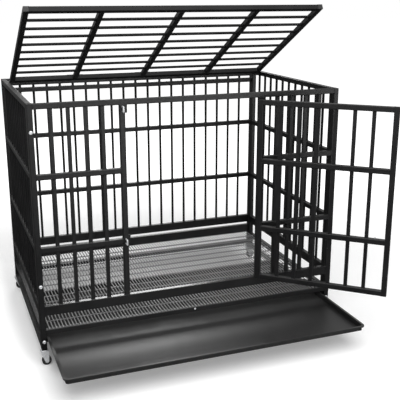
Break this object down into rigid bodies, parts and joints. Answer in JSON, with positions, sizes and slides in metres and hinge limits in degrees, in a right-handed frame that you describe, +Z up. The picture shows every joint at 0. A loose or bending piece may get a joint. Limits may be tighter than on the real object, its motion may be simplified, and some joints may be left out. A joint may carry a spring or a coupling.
{
  "type": "heavy duty dog crate",
  "caption": "Black steel-tube dog crate on swivel casters, with a barred swing door, a lifting barred lid, a wire floor and a slide-out tray.",
  "frame": {"origin": "on the floor, under the middle of the four corner posts", "axes": "+Z up, +X to the right as seen from the door side, -Y out of the door side"},
  "size_m": [1.2169, 1.142, 1.2524],
  "materials": {
    "black_coat": "satin black powder coat on steel",
    "tray_coat": "smooth satin black coat on steel sheet",
    "bright_zinc": "bright zinc plate",
    "black_plastic": "moulded black plastic",
    "wheel_rubber": "black wheel, matt"
  },
  "bodies": {
    "crate": {"corner_posts": "black_coat", "post_caps": "black_plastic", "post_inserts": "black_plastic", "panel_bolts": "bright_zinc", "base_screw": "bright_zinc", "front_rails": "black_coat", "door_jambs": "black_coat", "front_bars": "black_coat", "back_rails": "black_coat", "back_rods": "black_coat", "left_stiles": "black_coat", "left_rails": "black_coat", "left_rods": "black_coat", "right_stiles": "black_coat", "right_rails": "black_coat", "right_rods": "black_coat", "base_rails": "black_coat", "floor_wires": "black_coat", "floor_cross_wires": "black_coat", "tray_runners": "black_coat", "door_hinge_leaves": "black_coat", "door_hinge_pins": "bright_zinc", "door_keepers": "bright_zinc", "door_stops": "black_coat", "lid_hinge_rail": "black_coat", "lid_hinge_straps": "black_coat", "lid_hinge_pins": "bright_zinc", "lid_rests": "black_coat", "caster_stems": "bright_zinc"},
    "door": {"door_stiles": "black_coat", "door_rails": "black_coat", "door_bars": "black_coat", "door_caps": "black_plastic", "door_leaves": "black_coat", "latch_guides": "bright_zinc"},
    "upper_latch": {"upper_latch_bolt": "bright_zinc"},
    "lower_latch": {"lower_latch_bolt": "bright_zinc"},
    "lid": {"lid_side_rails": "black_coat", "lid_end_rails": "black_coat", "lid_cross_bars": "black_coat", "lid_rods": "black_coat", "lid_caps": "black_plastic", "lid_leaves": "black_coat"},
    "tray": {"tray": "tray_coat"},
    "caster_front_left": {"caster_fork_front_left": "bright_zinc", "caster_axle_front_left": "bright_zinc"},
    "wheel_front_left": {"caster_wheel_front_left": "wheel_rubber"},
    "caster_front_right": {"caster_fork_front_right": "bright_zinc", "caster_axle_front_right": "bright_zinc"},
    "wheel_front_right": {"caster_wheel_front_right": "wheel_rubber"},
    "caster_back_left": {"caster_fork_back_left": "bright_zinc", "caster_axle_back_left": "bright_zinc"},
    "wheel_back_left": {"caster_wheel_back_left": "wheel_rubber"},
    "caster_back_right": {"caster_fork_back_right": "bright_zinc", "caster_axle_back_right": "bright_zinc"},
    "wheel_back_right": {"caster_wheel_back_right": "wheel_rubber"}
  },
  "joints": [
    {"name": "door_swing", "type": "hinge", "parent": "crate", "child": "door", "pos_m": [0.251, -0.396, 0.5775], "axis": [0, 0, 1], "range_deg": [-138, 32]},
    {"name": "upper_latch_slide", "type": "slide", "parent": "door", "child": "upper_latch", "axis": [0.7431, -0.6691, 0], "range_m": [0, 0.022]},
    {"name": "lower_latch_slide", "type": "slide", "parent": "door", "child": "lower_latch", "axis": [0.7431, -0.6691, 0], "range_m": [0, 0.022]},
    {"name": "lid_lift", "type": "hinge", "parent": "crate", "child": "lid", "pos_m": [0, 0.2995, 0.9514], "axis": [-1, 0, 0], "range_deg": [-28, 82]},
    {"name": "tray_slide", "type": "slide", "parent": "crate", "child": "tray", "axis": [0, -1, 0], "range_m": [-0.315, 0.225]},
    {"name": "caster_swivel_front_left", "type": "hinge", "parent": "crate", "child": "caster_front_left", "pos_m": [-0.5745, -0.3805, 0.053], "axis": [0, 0, 1], "continuous": true},
    {"name": "wheel_roll_front_left", "type": "hinge", "parent": "caster_front_left", "child": "wheel_front_left", "pos_m": [-0.5685, -0.3805, 0.017], "axis": [0, 1, 0], "continuous": true},
    {"name": "caster_swivel_front_right", "type": "hinge", "parent": "crate", "child": "caster_front_right", "pos_m": [0.5745, -0.3805, 0.053], "axis": [0, 0, 1], "continuous": true},
    {"name": "wheel_roll_front_right", "type": "hinge", "parent": "caster_front_right", "child": "wheel_front_right", "pos_m": [0.5805, -0.3805, 0.017], "axis": [0, 1, 0], "continuous": true},
    {"name": "caster_swivel_back_left", "type": "hinge", "parent": "crate", "child": "caster_back_left", "pos_m": [-0.5745, 0.3805, 0.053], "axis": [0, 0, 1], "continuous": true},
    {"name": "wheel_roll_back_left", "type": "hinge", "parent": "caster_back_left", "child": "wheel_back_left", "pos_m": [-0.5685, 0.3805, 0.017], "axis": [0, 1, 0], "continuous": true},
    {"name": "caster_swivel_back_right", "type": "hinge", "parent": "crate", "child": "caster_back_right", "pos_m": [0.5745, 0.3805, 0.053], "axis": [0, 0, 1], "continuous": true},
    {"name": "wheel_roll_back_right", "type": "hinge", "parent": "caster_back_right", "child": "wheel_back_right", "pos_m": [0.5805, 0.3805, 0.017], "axis": [0, 1, 0], "continuous": true}
  ]
}
